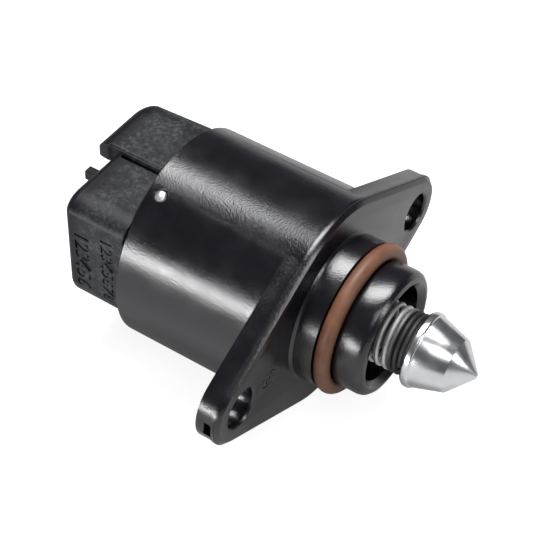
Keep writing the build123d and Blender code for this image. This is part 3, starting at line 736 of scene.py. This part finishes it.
races_and_balls = ("bearing_outer_race", "bearing_inner_race", "bearing_balls")
stator = ("front_stator_cup", "front_stator_plate", "rear_stator_plate", "rear_stator_cup")
windings = ("front_winding", "rear_winding")
contacts = ("coil_pins", "terminal_1", "terminal_2", "terminal_3", "terminal_4")
bobbins = ("guide_bush", "front_bobbin", "rear_bobbin")
inner_finishes = [
    (bobbins, "natural_nylon", (0.5, 0.47, 0.38), (0.6, 0.57, 0.48), 0.4, 0.5, 0.0, 900.0),
    (races_and_balls, "bearing_steel", (0.5, 0.5, 0.52), (0.65, 0.65, 0.67), 0.1, 0.18, 1.0, 900.0),
    (("bearing_cage",), "amber_nylon", (0.36, 0.26, 0.1), (0.45, 0.33, 0.15), 0.35, 0.45, 0.0, 900.0),
    (("rotor_hub",), "black_nylon", (0.03, 0.03, 0.032), (0.05, 0.05, 0.052), 0.4, 0.5, 0.0, 900.0),
    (("rotor_magnet",), "sintered_ferrite", (0.06, 0.06, 0.065), (0.1, 0.1, 0.105), 0.5, 0.65, 0.0, 2500.0),
    (("drive_nut",), "turned_brass", (0.6, 0.43, 0.16), (0.72, 0.53, 0.23), 0.22, 0.32, 1.0, 1200.0),
    (("rear_bush",), "sintered_bronze", (0.4, 0.24, 0.1), (0.5, 0.32, 0.15), 0.4, 0.55, 1.0, 3000.0),
    (("lead_screw",), "rolled_steel", (0.32, 0.33, 0.34), (0.46, 0.47, 0.48), 0.25, 0.4, 1.0, 1500.0),
    (stator, "plated_sheet_steel", (0.45, 0.46, 0.47), (0.58, 0.59, 0.6), 0.3, 0.42, 1.0, 800.0),
    (windings, "enamelled_copper", (0.4, 0.12, 0.05), (0.55, 0.2, 0.08), 0.25, 0.4, 1.0, 2600.0),
    (contacts, "tinned_brass", (0.55, 0.5, 0.4), (0.68, 0.63, 0.52), 0.24, 0.34, 1.0, 1400.0),
    (("plug_gasket",), "black_rubber", (0.015, 0.015, 0.016), (0.025, 0.025, 0.026), 0.55, 0.7, 0.0, 1500.0),
]
for nodes, name, dark, light, smooth, rough, metallic, scale in inner_finishes:
    finish = plain_finish(name, dark, light, smooth, rough, metallic, scale)
    for node in nodes:
        wear(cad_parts[node], finish)


# Floor and light
# A pale floor that fades into a white background. Four soft lamps light the valve: a narrow strip low on the
# left, a broad one above, and two weak ones in front and on the right.
white = (1, 1, 1, 1)
floor_tone = 0.55
floor_glow = 0.86
surroundings_level = 0.09
floor_z = cad_box[0][2]
bpy.ops.mesh.primitive_plane_add(size=4, location=(0, 0, floor_z))
floor = bpy.context.object
floor.name = "floor"
floor_material, shader, add, links = new_material("white_floor")
path = add("ShaderNodeLightPath")
mirrored = maths(add, "MAXIMUM", path.outputs["Is Glossy Ray"], path.outputs["Is Transmission Ray"])
mirrored = maths(add, "MULTIPLY", mirrored, surroundings_level)
seen = maths(add, "MULTIPLY_ADD", path.outputs["Is Camera Ray"], floor_glow, mirrored)
shader.inputs["Base Color"].default_value = (floor_tone, floor_tone, floor_tone, 1)
shader.inputs["Roughness"].default_value = 0.9
shader.inputs["Specular IOR Level"].default_value = 0.0
links.new(seen, shader.inputs["Emission Strength"])
shader.inputs["Emission Color"].default_value = white
floor.data.materials.append(floor_material)

world = bpy.data.worlds.new("studio")
bpy.context.scene.world = world
world.use_nodes = True
background = world.node_tree.nodes["Background"]
path = world.node_tree.nodes.new("ShaderNodeLightPath")
level = world.node_tree.nodes.new("ShaderNodeMapRange")
level.inputs["To Min"].default_value = surroundings_level
level.inputs["To Max"].default_value = 1.0
world.node_tree.links.new(path.outputs["Is Camera Ray"], level.inputs["Value"])
world.node_tree.links.new(level.outputs["Result"], background.inputs["Strength"])
background.inputs["Color"].default_value = white


def soft_light(name, direction, distance, width, height, watts):
    """A rectangular light that stands in a direction from the valve and faces it."""
    data = bpy.data.lights.new(name, "AREA")
    data.shape = "RECTANGLE"
    data.size = width
    data.size_y = height
    data.energy = watts
    light = bpy.data.objects.new(name, data)
    bpy.context.scene.collection.objects.link(light)
    towards = Vector(direction).normalized()
    light.location = towards * distance
    light.rotation_euler = towards.to_track_quat("Z", "Y").to_euler()


soft_light("left_light", (-0.43, -0.885, 0.06), distance=0.6, width=0.5, height=0.065, watts=2.0)
soft_light("top_light", (-0.19, 0.25, 0.98), distance=0.7, width=0.5, height=0.3, watts=4.8)
soft_light("front_light", (0.33, -0.36, 0.88), distance=0.7, width=0.3, height=0.3, watts=0.75)
soft_light("right_light", (0.93, 0.12, 0.36), distance=0.7, width=0.12, height=0.2, watts=0.5)


# Camera
# It stands 250 mm from the valve, in front and above, with the valve's axis running down to the right.
photo_size = 540
view_azimuth = radians(31.92)
view_elevation = radians(45.83)
view_roll = radians(2.38)
view_distance = 0.2521
aim = Vector((-0.006, 0, 0))
aim_pixel = (300.19, 288.47)
pixels_per_metre = 6538
sensor_width = 36
level_back = Vector((sin(view_azimuth), -cos(view_azimuth), 0))
back = level_back * cos(view_elevation) + Vector((0, 0, sin(view_elevation)))
level_right = Vector((cos(view_azimuth), sin(view_azimuth), 0))
level_up = back.cross(level_right)
right = level_right * cos(view_roll) + level_up * sin(view_roll)
up = level_up * cos(view_roll) - level_right * sin(view_roll)
focal_pixels = pixels_per_metre * view_distance
sideways = (aim_pixel[0] - photo_size / 2) * view_distance / focal_pixels
upwards = (aim_pixel[1] - photo_size / 2) * view_distance / focal_pixels
camera_data = bpy.data.cameras.new("camera")
camera_data.sensor_width = sensor_width
camera_data.lens = focal_pixels / photo_size * sensor_width
camera_data.clip_start = 0.01
camera = bpy.data.objects.new("camera", camera_data)
bpy.context.scene.collection.objects.link(camera)
facing = Matrix((right, up, back)).transposed().to_4x4()
stand = aim + back * view_distance - right * sideways + up * upwards
camera.matrix_world = Matrix.Translation(stand) @ facing
bpy.context.scene.camera = camera
bpy.context.scene.view_settings.view_transform = "Standard"
